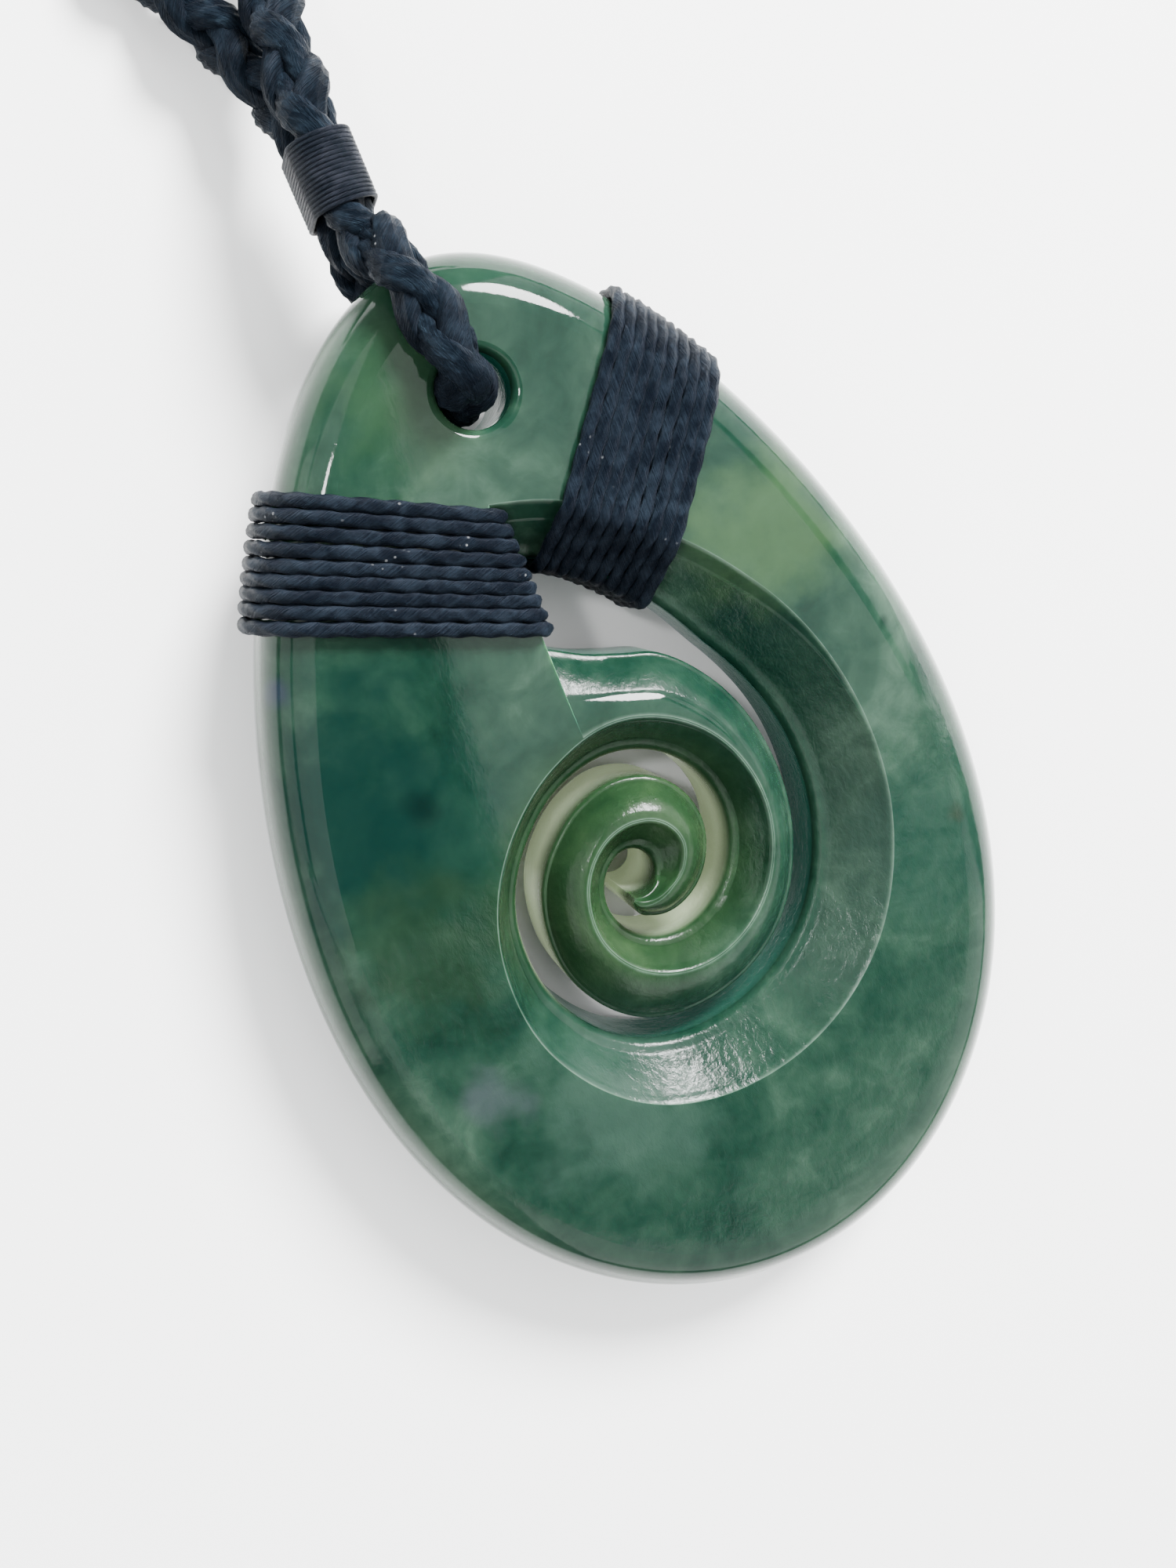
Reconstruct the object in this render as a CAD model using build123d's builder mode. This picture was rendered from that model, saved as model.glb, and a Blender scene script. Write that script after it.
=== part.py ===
from build123d import *
from collections import namedtuple
from math import cos, pi, radians, sin, sqrt, tan
import os

os.makedirs("parts", exist_ok=True)

# Koru pendant on a plaited neck cord, lying on its back.
# X runs across the stone, Y from its round foot to its tip and on along the cord, Z is up from the floor.
# All lengths are millimetres.

# The stone: an egg shape with its narrow end at the hole
stone_length = 69.0
stone_middle_width = 44.9
stone_thickness = 8.4
rim_radius = 3.3
egg_taper = 0.185
egg_pinch = 0.05
outline_points = 24

# The drilled hole for the cord, with a countersunk mouth on both faces
hole_from_tip = 8.1
hole_across = 0.1
hole_diameter = 4.4
countersink = 0.6

# The koru: its centre in the stone, its slot, its flute and its coil
koru_across = -1.7
koru_below_middle = 4.3
koru_radius = 13.1
slot_width = 1.75
slot_taper = 0.2
eye_radius = 1.4
flute_depth = 3.0
flank_drop = 2.4
ridge_land = 0.35

# The hollow of the flute and the round shoulder of the flank each pass through one point, given as a share of
# the way across and of the way down; both cuts run a little over the stone's face and into the slot
hollow_across = 0.45
hollow_down = 0.72
shoulder_across = 0.5
shoulder_down = 0.36
flute_overrun = 1
flank_overrun = 0.3
slot_overrun = slot_width / 4

# The two bindings: the way their strands run, in degrees, and how far along each arm they lie from the koru's
# centre
Binding = namedtuple("Binding", "name heading distance width turns")
left_arm = Binding("left_binding", -25, 18.2, 7.6, 9)
right_arm = Binding("right_binding", 55, 5.95, 7.3, 10)
wound_cord = 0.75
seat_depth = 1.6
binding_edge_bend = 0.7
binding_gap = 0.25

# The cord, its fine thread windings and the gap that is kept between two pieces. leg_rise is how far each leg
# of the cord lies over or under the middle of the front whipping.
braid_diameter = 3.2
whipping_thread = 0.3
whipping_turns = 16
whipping_length = 4.4
leg_rise = 1.625
nape_length = 14
nape_turns = 40
nape_rise = 0.01
corner_share = 0.98
edge_share = 0.25
gap = 0.1

# The tip is raised by the cord that passes under it, so the stone's face leans a little towards its foot
tip_lift = 3.6

# Each row is one section of the koru, counted clockwise from the left arm. angle is in degrees from +X. ridge
# and wall are how far the crest line and the slot's outer wall lie from the koru's centre, and mouth is the
# extra width of the slot there, all as shares of koru_radius.
Section = namedtuple("Section", "angle ridge wall mouth")
koru_sections = [
    Section(90, 1.850, 1.600, 0.310),
    Section(80, 1.775, 1.510, 0.310),
    Section(70, 1.660, 1.390, 0.215),
    Section(60, 1.570, 1.270, 0.085),
    Section(45, 1.470, 1.140, 0.000),
    Section(15, 1.345, 1.040, 0.000),
    Section(-15, 1.296, 0.988, 0.000),
    Section(-45, 1.280, 0.972, 0.000),
    Section(-75, 1.229, 0.938, 0.000),
    Section(-105, 1.135, 0.885, 0.000),
    Section(-135, 0.955, 0.757, 0.000),
    Section(-165, 0.778, 0.632, 0.000),
    Section(-195, 0.675, 0.560, 0.000),
    Section(-225, 0.635, 0.523, 0.000),
    Section(-255, 0.665, 0.533, 0.000),
    Section(-285, 0.735, 0.570, 0.000),
    Section(-315, 0.745, 0.584, 0.000),
    Section(-345, 0.710, 0.556, 0.000),
    Section(-375, 0.660, 0.502, 0.000),
    Section(-405, 0.607, 0.450, 0.000),
    Section(-435, 0.542, 0.396, 0.000),
    Section(-465, 0.455, 0.320, 0.000),
    Section(-495, 0.357, 0.230, 0.000),
    Section(-525, 0.275, 0.163, 0.000),
    Section(-555, 0.232, 0.125, 0.000),
    Section(-585, 0.217, 0.108, 0.000),
    Section(-615, 0.225, 0.107, 0.000),
    Section(-645, 0.244, 0.107, 0.000),
    Section(-675, 0.262, 0.107, 0.000),
    Section(-705, 0.250, 0.107, 0.000),
]
slot_end_angle = -585
hook_tip_angle = -478

# The braid's route: down the left of the neck loop, under the stone, up through its hole, over its tip and
# back up the right. A bend of 0 takes the largest even arc; the others go round the stone and the whipping.
arc_share = 0.45
RoutePoint = namedtuple("RoutePoint", "x y z bend")
braid_route = [
    RoutePoint(-0.1, 306, 2.02, 0),
    RoutePoint(-20, 306.2, 2.02, 0),
    RoutePoint(-52, 293, 1.62, 0),
    RoutePoint(-73, 252, 1.62, 0),
    RoutePoint(-76, 200, 1.62, 0),
    RoutePoint(-62, 150, 1.62, 0),
    RoutePoint(-38, 105, 1.62, 0),
    RoutePoint(-16, 73, 1.62, 0),
    RoutePoint(-5.0, 54.8, 1.62, 0),
    RoutePoint(-2.3, 43.9, 6.45, 6.6),
    RoutePoint(-2.3, 36.15, 6.45, 2.4),
    RoutePoint(-1.3, 34.0, 1.62, 4.6),
    RoutePoint(-0.25, 26.47, 1.62, 2.9),
    RoutePoint(-0.25, 25.73, 13.7, 2.9),
    RoutePoint(-1.3, 34.1, 14.2, 4.6),
    RoutePoint(-2.3, 36.15, 9.7, 2.4),
    RoutePoint(-2.3, 43.9, 9.7, 6.6),
    RoutePoint(-1.0, 51.6, 6.0, 0),
    RoutePoint(1.7, 60.6, 1.62, 0),
    RoutePoint(13.6, 79.5, 1.62, 0),
    RoutePoint(37, 110, 1.62, 0),
    RoutePoint(61, 155, 1.62, 0),
    RoutePoint(75, 205, 1.62, 0),
    RoutePoint(72, 256, 1.62, 0),
    RoutePoint(51, 295, 1.62, 0),
    RoutePoint(20, 306.2, 2.02, 0),
    RoutePoint(0.1, 306, 2.02, 0),
]
whipping_middle = Vector(-2.3, 40.0, 8.075)
nape_middle = Vector(0, 306, 2.02)

# The middle of the whole piece's box, measured from the stone's middle; everything is placed from there
middle_across = -0.5
middle_along = 136.62

# Placing: the stone's own plane, with its back at zero height
half_length = stone_length / 2
flat_back_end = half_length - rim_radius
hole_along = half_length - hole_from_tip
tilt_sine = tip_lift / (hole_along + flat_back_end)
tilt_cosine = sqrt(1 - tilt_sine ** 2)
stone_plane = Plane(
    origin=(-middle_across, -middle_along, flat_back_end * tilt_sine + rim_radius * (1 - tilt_cosine)),
    x_dir=(1, 0, 0),
    z_dir=(0, -tilt_sine, tilt_cosine),
)
koru_centre = Vector(koru_across, -koru_below_middle)
first_angle = koru_sections[0].angle
whole_turn = slot_end_angle - first_angle


def egg_point(turn):
    """A point of the stone's outline; turn is 0 at the tip, 0.25 at its right and 0.5 at the foot."""
    share = cos(2 * pi * turn)
    half = stone_middle_width / 2 * (1 - egg_taper * share - egg_pinch * share ** 2)
    return Vector(half * sin(2 * pi * turn), half_length * share)


def around_koru(angle, radius):
    """A point of the stone's plane at an angle and a distance from the koru's centre."""
    return koru_centre + Vector(radius * cos(radians(angle)), radius * sin(radians(angle)))


def column_at(angle, column):
    """A column of the section table at any angle, in koru radii, by straight shares between two rows."""
    pairs = zip(koru_sections, koru_sections[1:])
    before, after = next(pair for pair in pairs if pair[0].angle >= angle >= pair[1].angle)
    share = (before.angle - angle) / (before.angle - after.angle)
    value = getattr(before, column) * (1 - share) + getattr(after, column) * share
    return value * koru_radius


def wound_in(angle):
    """How far the koru has wound in: 0 at the mouth of its slot and 1 at its eye."""
    return (angle - first_angle) / whole_turn


def wall_point(angle):
    """The slot's outer wall."""
    return around_koru(angle, column_at(angle, "wall"))


def ridge_point(angle):
    """The crest line."""
    return around_koru(angle, column_at(angle, "ridge"))


def coil_radius(angle):
    """The coil's outer edge, which is the slot's inner wall."""
    width = slot_width * (1 - slot_taper * wound_in(angle))
    return column_at(angle, "wall") - width - column_at(angle, "mouth")


def section_plane(angle):
    """The upright plane through the koru's centre: x is the distance from that centre, y the height."""
    centre = stone_plane.from_local_coords(koru_centre)
    outward = stone_plane.from_local_coords(around_koru(angle, 1)) - centre
    return Plane(origin=centre, x_dir=outward, z_dir=outward.cross(stone_plane.z_dir))


def flute_section(angle):
    """What the flute takes away at an angle: a hollow that falls from the ridge to the slot."""
    ridge = column_at(angle, "ridge")
    inner = column_at(angle, "wall") - slot_overrun
    depth = flute_depth * (1 - wound_in(angle) / 2)
    hollow = (inner + (ridge - inner) * hollow_across, stone_thickness - depth * hollow_down)
    slope = (stone_thickness - hollow[1]) / (ridge - hollow[0])
    top = stone_thickness + flute_overrun
    return [(inner, stone_thickness - depth), hollow, (ridge + flute_overrun / slope, top), (inner, top)]


def flank_section(angle):
    """What the coil's outer flank loses at an angle: a round shoulder from the ridge down to the slot."""
    crest = column_at(angle - 360, "ridge") + ridge_land
    outer = coil_radius(angle) + slot_overrun
    drop = flank_drop * (1 - wound_in(angle) / 3)
    shoulder = (crest + (outer - crest) * shoulder_across, stone_thickness - drop * shoulder_down)
    slope = (stone_thickness - shoulder[1]) / (shoulder[0] - crest)
    top = stone_thickness + flank_overrun
    return [(outer, stone_thickness - drop), shoulder, (crest - flank_overrun / slope, top), (outer, top)]


def crossing(curve, low, high, heading, distance):
    """Where a curve of the stone's plane lies at a distance from the koru's centre, square to a heading."""
    along = Vector(-sin(radians(heading)), cos(radians(heading)))
    rising = (curve(high) - curve(low)).dot(along) > 0
    for _ in range(40):
        middle = (low + high) / 2
        beyond = (curve(middle) - koru_centre).dot(along) > distance
        if beyond == rising:
            high = middle
        else:
            low = middle
    return curve((low + high) / 2)


def reach(point, heading):
    """How far a point of the stone's plane lies along a heading, from the koru's centre."""
    return (point - koru_centre).dot(Vector(cos(radians(heading)), sin(radians(heading))))


def strand_plane(heading, distance):
    """The upright plane of one turn of a binding: x runs along the turn, y is the height over the back."""
    out = Vector(cos(radians(heading)), sin(radians(heading)))
    along = Vector(-out.Y, out.X)
    start = stone_plane.from_local_coords(koru_centre + along * distance)
    x_dir = stone_plane.from_local_coords(out) - stone_plane.origin
    return Plane(origin=start, x_dir=x_dir, z_dir=x_dir.cross(stone_plane.z_dir))


def wound_turn(plane, corners, bends, slack, thickness, width):
    """One turn of a winding: a closed band round the corners, with its outer edges rounded off."""
    with BuildSketch(plane) as face:
        with BuildLine():
            FilletPolyline(corners, radius=bends, close=True)
        make_face()
        offset(amount=slack + thickness)
    with BuildSketch(plane) as bore:
        with BuildLine():
            FilletPolyline(corners, radius=bends, close=True)
        make_face()
        offset(amount=slack)
    with BuildPart(mode=Mode.PRIVATE) as turn:
        extrude(face.sketch, amount=width / 2, both=True)
        rims = turn.faces().filter_by(GeomType.PLANE).sort_by(Axis(plane.origin, plane.z_dir))
        chamfer(rims[0].edges() + rims[-1].edges(), length=thickness * edge_share)
        extrude(bore.sketch, amount=width, both=True, mode=Mode.SUBTRACT)
    return turn.part


def farthest(curve, low, high, heading, distance, width):
    """A curve's greatest reach along a heading within the width of one turn."""
    sides = (distance - width / 2, distance + width / 2)
    return max(reach(crossing(curve, low, high, heading, side), heading) for side in sides)


def nearest(curve, low, high, heading, distance, width):
    """A curve's least reach along a heading within the width of one turn."""
    sides = (distance - width / 2, distance + width / 2)
    return min(reach(crossing(curve, low, high, heading, side), heading) for side in sides)


def arm_side(distance):
    """The left arm's inner side, which is the mouth's left end, at a distance along the arm."""
    return koru_centre + Vector(0, distance / cos(radians(left_arm.heading)))


def left_turn(distance, width):
    """The left arm's section at one turn: rounded at the stone's rim, square at the mouth of the slot."""
    rim = nearest(egg_point, -0.3, 0, left_arm.heading, distance, width)
    edge = reach(arm_side(distance - width / 2), left_arm.heading)
    corners = [(rim, 0), (edge, 0), (edge, stone_thickness), (rim, stone_thickness)]
    return corners, [rim_radius, binding_edge_bend, binding_edge_bend, rim_radius]


def right_turn(distance, width):
    """The right arm's section at one turn: rounded at the rim, cut back from the ridge to the slot's wall."""
    rim = farthest(egg_point, 0, 0.3, right_arm.heading, distance, width)
    ridge = nearest(ridge_point, 20, 90, right_arm.heading, distance, width)
    wall = nearest(wall_point, 20, 90, right_arm.heading, distance, width)
    low = stone_thickness - flute_depth
    corners = [(wall, 0), (rim, 0), (rim, stone_thickness), (ridge, stone_thickness), (wall, low)]
    return corners, [binding_edge_bend, rim_radius, rim_radius, binding_edge_bend, binding_edge_bend]


# The stone: blank, slot, flute, flank and hole
with BuildPart() as stone:
    with BuildSketch(stone_plane):
        with BuildLine():
            Spline([egg_point(k / outline_points) for k in range(outline_points)], periodic=True)
        make_face()
    extrude(amount=stone_thickness)
    fillet(stone.faces().filter_by(GeomType.PLANE).edges(), radius=rim_radius)
    with BuildSketch(stone_plane):
        with BuildLine():
            hook_tip = around_koru(hook_tip_angle, eye_radius)
            wall_rows = [row.angle for row in koru_sections if row.angle >= slot_end_angle]
            coil_rows = [row.angle for row in koru_sections if row.angle > hook_tip_angle]
            wall = Spline([wall_point(angle) for angle in wall_rows])
            coil = Spline([around_koru(angle, coil_radius(angle)) for angle in coil_rows] + [hook_tip])
            Line(wall @ 0, coil @ 0)
            Line(wall @ 1, coil @ 1)
        make_face()
        with Locations(koru_centre):
            Circle(eye_radius)
        seat = Vector(cos(radians(left_arm.heading)), sin(radians(left_arm.heading))) * seat_depth
        low_side = arm_side(left_arm.distance - left_arm.width / 2)
        high_side = arm_side(left_arm.distance + left_arm.width / 2 + gap)
        Polygon([low_side, low_side + seat, high_side + seat, high_side], align=None)
    extrude(amount=stone_thickness, mode=Mode.SUBTRACT)
    for row in koru_sections:
        with BuildSketch(section_plane(row.angle)):
            Polygon(flute_section(row.angle), align=None)
    loft(mode=Mode.SUBTRACT)
    for row in koru_sections:
        if row.angle - 360 >= koru_sections[-1].angle:
            with BuildSketch(section_plane(row.angle)):
                Polygon(flank_section(row.angle), align=None)
    loft(mode=Mode.SUBTRACT)
    front_mouth = Pos(hole_across, hole_along, stone_thickness)
    back_mouth = Pos(hole_across, hole_along, 0) * Rot(180, 0, 0)
    for mouth in (front_mouth, back_mouth):
        with Locations(stone_plane * mouth):
            CounterSinkHole(radius=hole_diameter / 2, counter_sink_radius=hole_diameter / 2 + countersink)
stone.part.label = "koru_stone"
export_step(stone.part, "parts/koru_stone.step")

# The bindings: flat turns of waxed cord, side by side round each arm
for arm, section_of in ((left_arm, left_turn), (right_arm, right_turn)):
    pitch = arm.width / arm.turns
    with BuildPart() as binding:
        for k in range(arm.turns):
            distance = arm.distance + (k - (arm.turns - 1) / 2) * pitch
            corners, bends = section_of(distance, pitch)
            plane = strand_plane(arm.heading, distance)
            add(wound_turn(plane, corners, bends, binding_gap, wound_cord, pitch))
    binding.part.label = arm.name
    export_step(binding.part, f"parts/{arm.name}.step")
    print(arm.name, "solids", len(binding.part.solids()), "volume", round(binding.part.volume, 1))

# The whippings: fine thread round both legs of the braid at the stone's tip, and round its ends at the nape
Whipping = namedtuple("Whipping", "name middle across axis rise length turns")
half_braid = braid_diameter / 2
frame_middle = Vector(middle_across, middle_along, 0)
along_x, along_y = Vector(1, 0, 0), Vector(0, 1, 0)
whippings = [
    Whipping("front_whipping", whipping_middle, along_x, along_y, leg_rise, whipping_length, whipping_turns),
    Whipping("nape_whipping", nape_middle, along_y, along_x, nape_rise, nape_length, nape_turns),
]
for row in whippings:
    pitch = row.length / row.turns
    low, high = -half_braid - row.rise, half_braid + row.rise
    corners = [(-half_braid, low), (half_braid, low), (half_braid, high), (-half_braid, high)]
    bends = [half_braid * corner_share] * len(corners)
    with BuildPart() as whipping:
        for k in range(row.turns):
            place = row.middle - frame_middle + row.axis * (k - (row.turns - 1) / 2) * pitch
            plane = Plane(origin=place, x_dir=row.across, z_dir=row.across.cross(Vector(0, 0, 1)))
            add(wound_turn(plane, corners, bends, gap, whipping_thread, pitch))
    whipping.part.label = row.name
    export_step(whipping.part, f"parts/{row.name}.step")
    print(row.name, "solids", len(whipping.part.solids()), "volume", round(whipping.part.volume, 1))

# The braid: straight runs joined by tangent arcs
points = [Vector(stop.x, stop.y, stop.z) - frame_middle for stop in braid_route]
radii = []
for before, stop, after, row in zip(points, points[1:], points[2:], braid_route[1:]):
    half_turn = radians((stop - before).get_angle(after - stop)) / 2
    shorter = min((stop - before).length, (after - stop).length)
    radii.append(row.bend or arc_share * shorter / tan(half_turn))
with BuildPart() as braid:
    with BuildLine() as route:
        FilletPolyline(points, radius=radii)
    with BuildSketch(Plane(origin=route.line @ 0, z_dir=route.line % 0)):
        Circle(half_braid)
    sweep(path=route.line)
braid.part.label = "neck_braid"
export_step(braid.part, "parts/neck_braid.step")
route_length = route.wires()[0].length
full_volume = pi * half_braid ** 2 * route_length
print("braid radii", [round(radius, 1) for radius in radii])
print("braid length", round(route_length, 1), "volume", round(braid.part.volume, 1))
print("its section times its length", round(full_volume, 1))
print("stone volume", round(stone.part.volume, 1), "lowest point", round(stone.part.bounding_box().min.Z, 4))
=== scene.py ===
# %% [markdown]
# # Koru pendant
# A carved jade pendant on a plaited neck cord is built here on its imported frame. The frame is loaded first,
# and its size is kept.

# %% Load the frame
from math import asin, cos, degrees, pi, radians, sin, sqrt, tan

import bmesh
import bpy
from mathutils import Matrix, Vector


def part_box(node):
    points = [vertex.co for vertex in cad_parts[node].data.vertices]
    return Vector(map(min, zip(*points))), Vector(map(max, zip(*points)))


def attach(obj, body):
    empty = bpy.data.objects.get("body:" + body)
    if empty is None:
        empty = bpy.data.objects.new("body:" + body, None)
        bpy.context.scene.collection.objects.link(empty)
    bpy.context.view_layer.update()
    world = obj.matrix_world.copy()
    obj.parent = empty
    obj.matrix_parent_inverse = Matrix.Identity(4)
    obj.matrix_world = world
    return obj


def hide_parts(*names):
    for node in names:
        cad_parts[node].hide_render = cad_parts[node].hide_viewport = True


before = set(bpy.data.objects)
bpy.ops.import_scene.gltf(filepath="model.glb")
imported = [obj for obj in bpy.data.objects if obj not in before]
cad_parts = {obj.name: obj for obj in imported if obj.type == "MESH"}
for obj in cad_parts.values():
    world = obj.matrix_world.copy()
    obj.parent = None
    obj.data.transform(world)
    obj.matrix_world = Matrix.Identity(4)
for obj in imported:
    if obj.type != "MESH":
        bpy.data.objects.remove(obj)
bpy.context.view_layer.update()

MM = 0.001
print("frame nodes:", sorted(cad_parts))

# %% [markdown]
# The stone lies on its back with its tip raised on the cord, so it has a plane of its own. It could be built
# flat and turned afterwards, but a finished object stays unturned here. So `from_stone` turns each place in
# that plane (across, along, height over the back, in millimetres) into a place in the scene. The stone's box
# in the frame gives its middle, and the lift of its tip gives its tilt.

# %% The stone's own plane
stone_length = 69.0
stone_thickness = 8.4
rim_radius = 3.3
hole_from_tip = 8.1
hole_along = stone_length / 2 - hole_from_tip
tip_lift = 3.6
stone_low, stone_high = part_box("koru_stone")
tilt = asin(tip_lift / (hole_along + stone_length / 2 - rim_radius))
stone_origin = Vector((
    (stone_low[0] + stone_high[0]) / 2,
    stone_low[1] + (stone_length / 2 * cos(tilt) + (stone_thickness - rim_radius) * sin(tilt)) * MM,
    (stone_length / 2 - rim_radius) * sin(tilt) * MM,
))
stone_turn = Matrix.Rotation(tilt, 3, "X")


def from_stone(across, along, height):
    """A place in the scene, in metres, from a place in the stone's own plane, in millimetres."""
    return stone_origin + stone_turn @ (Vector((across, along, height)) * MM)


print("tilt of the stone in degrees:", round(degrees(tilt), 2))
print("middle of its back:", tuple(round(value, 4) for value in stone_origin))

# %% [markdown]
# The camera looks down on the stone from above its left side, as in the photograph. Its place and the two
# directions of its picture are known in the stone's plane, so the stone's turn puts them into the scene. They
# make the camera's matrix, which also rolls the picture the right way.

# %% Camera
camera_place = (-19.091, 25.386, 99.326)
camera_right = (0.89402, -0.36781, 0.25584)
camera_up = (0.41280, 0.89819, -0.15123)
sensor_height = 36.0
focal_length = 36.0
nearest_seen = 0.005

camera_data = bpy.data.cameras.new("camera")
camera_data.sensor_fit = "VERTICAL"
camera_data.sensor_height = sensor_height
camera_data.lens = focal_length
camera_data.clip_start = nearest_seen
camera = bpy.data.objects.new("camera", camera_data)
bpy.context.scene.collection.objects.link(camera)
bpy.context.scene.camera = camera
picture_right = (stone_turn @ Vector(camera_right)).normalized()
picture_up = (stone_turn @ Vector(camera_up)).normalized()
picture_up = (picture_up - picture_right * picture_up.dot(picture_right)).normalized()
picture_turn = Matrix((picture_right, picture_up, picture_right.cross(picture_up))).transposed()
camera.matrix_world = Matrix.Translation(from_stone(*camera_place)) @ picture_turn.to_4x4()
print("camera at", tuple(round(value, 4) for value in camera.matrix_world.translation))

# %% [markdown]
# The stone's outline is an egg. It could be drawn through many points, but one formula keeps it smooth: a
# cosine along its length and a sine across it, with a width that changes from the tip to the foot. The rim
# is found by going inwards from that outline, square to it.

# %% Outline of the stone
stone_middle_width = 44.9
egg_taper = 0.185
egg_pinch = 0.05
small_turn = 0.0005


def egg_point(turn):
    """A point of the stone's outline; turn is 0 at the tip, 0.25 at its right and 0.5 at the foot."""
    share = cos(2 * pi * turn)
    half = stone_middle_width / 2 * (1 - egg_taper * share - egg_pinch * share ** 2)
    return Vector((half * sin(2 * pi * turn), stone_length / 2 * share))


def egg_inset(turn, depth):
    """The point that lies a given depth inside the outline, square to it."""
    along = (egg_point(turn + small_turn) - egg_point(turn - small_turn)).normalized()
    return egg_point(turn) + Vector((along.y, -along.x)) * depth


print("outline in mm:", round(2 * max(egg_point(k / 200).x for k in range(100)), 1), "by", stone_length)

# %% [markdown]
# The koru is one spiral that is wound from the mouth of its slot to its eye. The real one was carved by eye
# and fits no simple formula, so a short table holds its crest line, the slot's outer wall and the wider
# opening of its mouth at chosen angles, as shares of one radius.

# %% Table of the koru
koru_centre = Vector((-1.7, -4.3))
koru_radius = 13.1
first_angle = 90
eye_angle = -585
ridge_column = 1
wall_column = 2
mouth_column = 3
koru_rows = [
    # angle, ridge, wall, mouth
    (90, 1.850, 1.600, 0.310),
    (80, 1.775, 1.510, 0.310),
    (70, 1.660, 1.390, 0.215),
    (60, 1.570, 1.270, 0.085),
    (45, 1.470, 1.140, 0.000),
    (15, 1.345, 1.040, 0.000),
    (-15, 1.296, 0.988, 0.000),
    (-45, 1.280, 0.972, 0.000),
    (-75, 1.229, 0.938, 0.000),
    (-105, 1.135, 0.885, 0.000),
    (-135, 0.955, 0.757, 0.000),
    (-165, 0.778, 0.632, 0.000),
    (-195, 0.675, 0.560, 0.000),
    (-225, 0.635, 0.523, 0.000),
    (-255, 0.665, 0.533, 0.000),
    (-285, 0.735, 0.570, 0.000),
    (-315, 0.745, 0.584, 0.000),
    (-345, 0.710, 0.556, 0.000),
    (-375, 0.660, 0.502, 0.000),
    (-405, 0.607, 0.450, 0.000),
    (-435, 0.542, 0.396, 0.000),
    (-465, 0.455, 0.320, 0.000),
    (-495, 0.357, 0.230, 0.000),
    (-525, 0.275, 0.163, 0.000),
    (-555, 0.232, 0.125, 0.000),
    (-585, 0.217, 0.108, 0.000),
    (-615, 0.225, 0.107, 0.000),
    (-645, 0.244, 0.107, 0.000),
    (-675, 0.262, 0.107, 0.000),
    (-705, 0.250, 0.107, 0.000),
    (-735, 0.198, 0.107, 0.000),
    (-765, 0.150, 0.107, 0.000),
    (-844, 0.115, 0.107, 0.000),
]
print("koru:", len(koru_rows), "rows over", koru_rows[0][0] - koru_rows[-1][0], "degrees")

# %% [markdown]
# A smooth curve goes through the rows of the table. At each row it has the slope between the rows on both
# sides, so the crest line winds in without a corner, and any angle can be asked for.

# %% Curves through the table
def koru_column(angle, column):
    """A column of the table at any angle, in millimetres, on a smooth curve through the rows."""
    rows = koru_rows
    k = max(i for i in range(len(rows) - 1) if rows[i][0] >= angle or i == 0)
    low, high = rows[max(k - 1, 0)], rows[min(k + 2, len(rows) - 1)]
    here, there = rows[k], rows[k + 1]
    span = there[0] - here[0]
    share = (angle - here[0]) / span
    start = (there[column] - low[column]) / (there[0] - low[0]) * span
    end = (high[column] - here[column]) / (high[0] - here[0]) * span
    value = (
        (2 * share ** 3 - 3 * share ** 2 + 1) * here[column]
        + (share ** 3 - 2 * share ** 2 + share) * start
        + (3 * share ** 2 - 2 * share ** 3) * there[column]
        + (share ** 3 - share ** 2) * end
    )
    return value * koru_radius


def wound_in(angle):
    """How far the koru has wound in: 0 at the mouth of its slot and 1 where it reaches the eye."""
    return (first_angle - angle) / (first_angle - eye_angle)


def around_koru(angle, radius, height):
    """A point of the stone, in millimetres, at an angle and a distance from the koru's centre."""
    return Vector((
        koru_centre.x + radius * cos(radians(angle)),
        koru_centre.y + radius * sin(radians(angle)),
        height,
    ))


print("crest at the slot's mouth:", round(koru_column(first_angle, ridge_column), 1), "mm from the middle")

# %% [markdown]
# The slot has an outer wall, which the table gives, and an inner wall, which is the edge of the coil. Between
# them lies the slot's width, which tapers as it winds in. The coil ends in a round tip beside the eye, like
# the curled end of a fern frond.

# %% Walls of the slot
slot_width = 1.75
slot_taper = 0.2
eye_radius = 1.4
hook_tip_width = 0.35
hook_angle = -484
hook_round = 30


def wall_radius(angle):
    """The slot's outer wall, and after the slot's end the eye's."""
    return koru_column(angle, wall_column)


def coil_radius(angle):
    """The coil's outer edge, which is the slot's inner wall; it closes on the eye in a round tip."""
    width = slot_width * (1 - slot_taper * wound_in(angle))
    open_edge = wall_radius(angle) - width - koru_column(angle, mouth_column)
    share = min(max((angle - hook_angle) / hook_round, 0), 1)
    tip_edge = eye_radius + hook_tip_width
    return tip_edge + (open_edge - tip_edge) * sqrt(1 - (1 - share) ** 2)


def arm_width(angle):
    """The stone's width from the wall at this angle to the coil's edge one turn further out."""
    if angle + 360 > first_angle:
        return stone_middle_width / 4
    return coil_radius(angle + 360) - wall_radius(angle)


for angle in (45, -135, -315):
    print("slot at", angle, "degrees:", round(wall_radius(angle) - coil_radius(angle), 2), "mm wide")

# %% [markdown]
# The stone beside the slot isn't flat: one side falls from a crisp crest in a sloping flute, and the coil's
# side rolls over in a round flank. Both could be bevelled, but their depth changes along the spiral, and a
# plain bevel keeps one depth. So each side follows a profile: crest, slope, rounded edge, wall and rounded
# back. All profiles have the same number of points, so that the sides can be joined at both ends.

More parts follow.
